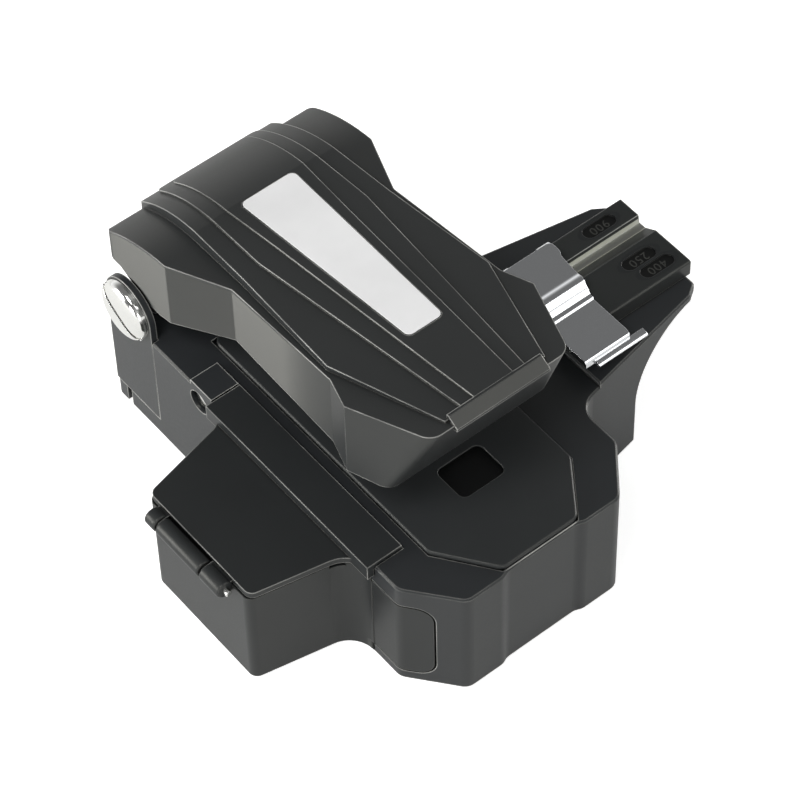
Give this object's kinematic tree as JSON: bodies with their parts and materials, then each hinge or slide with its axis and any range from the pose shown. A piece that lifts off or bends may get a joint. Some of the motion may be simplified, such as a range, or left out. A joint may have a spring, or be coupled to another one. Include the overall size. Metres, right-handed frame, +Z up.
{
  "type": "fibre cleaver",
  "caption": "Desktop optical fibre cleaver: die-cast base with blade carriage, hinged lid with clamps, side fibre holder and scrap bin with its own lid.",
  "frame": {"origin": "on the resting plane under the crossing of the housing's middle plane and the holder arm's middle plane", "axes": "+X towards the fibre holder's arm, -Y towards the user, +Z up"},
  "size_m": [0.1196, 0.1065, 0.0662],
  "materials": {
    "casting": "satin",
    "cover": "satin",
    "steel": "satin",
    "mat": "matte",
    "magnet": "satin",
    "pad": "matte",
    "dark_steel": "satin",
    "bright_steel": "polished",
    "holder": "anodised",
    "label": "matte",
    "aluminium": "satin",
    "carbide": "ground",
    "bin": "satin"
  },
  "bodies": {
    "base": {"base_body": "casting", "deck_plate": "casting", "base_cover": "cover", "cover_screws": "steel", "foot_mat": "mat", "catch_magnet": "magnet", "lower_pad_left": "pad", "lower_pad_right": "pad", "guide_rail": "steel", "rail_screws": "dark_steel", "hinge_ear_left": "casting", "hinge_ear_right": "casting", "hinge_shaft": "steel", "hinge_screw_left": "bright_steel", "hinge_screw_right": "bright_steel", "lid_spring": "steel", "fibre_holder": "holder", "clip_pin": "steel", "clip_magnet": "magnet", "adjuster_screw": "bright_steel"},
    "lid": {"lid_shell": "casting", "lid_label": "label", "lid_frame": "aluminium", "lid_screws": "dark_steel", "strike_plate": "steel"},
    "clamp_left": {"clamp_left": "aluminium", "upper_pad_left": "pad"},
    "clamp_right": {"clamp_right": "aluminium", "upper_pad_right": "pad"},
    "anvil": {"anvil": "steel"},
    "carriage": {"blade_carriage": "aluminium", "blade_bolt": "dark_steel"},
    "blade": {"blade_wheel": "carbide"},
    "clip": {"fibre_clip": "bright_steel", "clip_pad": "pad"},
    "bin": {"scrap_bin": "bin", "bin_hinge_pin": "steel"},
    "bin_lid": {"bin_lid": "bin"}
  },
  "joints": [
    {"name": "lid_hinge", "type": "hinge", "parent": "base", "child": "lid", "pos_m": [0, 0.0527, 0.0342], "axis": [-1, 0, 0], "range_deg": [-8, 50], "stiffness_Nm_per_rad": 0.3, "springref_deg": 8.59},
    {"name": "carriage_slide", "type": "slide", "parent": "base", "child": "carriage", "axis": [0, 1, 0], "range_m": [-0.0031, 0.0191]},
    {"name": "blade_index", "type": "hinge", "parent": "carriage", "child": "blade", "pos_m": [0, 0.0058, 0.0252], "axis": [1, 0, 0], "continuous": true},
    {"name": "clamp_travel_left", "type": "slide", "parent": "lid", "child": "clamp_left", "axis": [0, 0.1392, 0.9903], "range_m": [0, 0.0012], "stiffness_N_per_m": 400, "springref_m": -0.001},
    {"name": "clamp_travel_right", "type": "slide", "parent": "lid", "child": "clamp_right", "axis": [0, 0.1392, 0.9903], "range_m": [0, 0.0012], "stiffness_N_per_m": 400, "springref_m": -0.001},
    {"name": "anvil_travel", "type": "slide", "parent": "lid", "child": "anvil", "axis": [0, 0.1392, 0.9903], "range_m": [0, 0.0012], "stiffness_N_per_m": 400, "springref_m": -0.001},
    {"name": "clip_hinge", "type": "hinge", "parent": "base", "child": "clip", "pos_m": [0.0398, 0.0096, 0.0359], "axis": [-1, 0, 0], "range_deg": [0, 100]},
    {"name": "bin_release", "type": "slide", "parent": "base", "child": "bin", "axis": [-1, 0, 0], "range_m": [0, 0.015]},
    {"name": "bin_lid_hinge", "type": "hinge", "parent": "bin", "child": "bin_lid", "pos_m": [-0.0516, 0, 0.0266], "axis": [0, -1, 0], "range_deg": [0, 110]}
  ],
  "couplings": [
    {"joint": "carriage_slide", "follows": "lid_hinge", "m_per_rad": 0.021733}
  ]
}
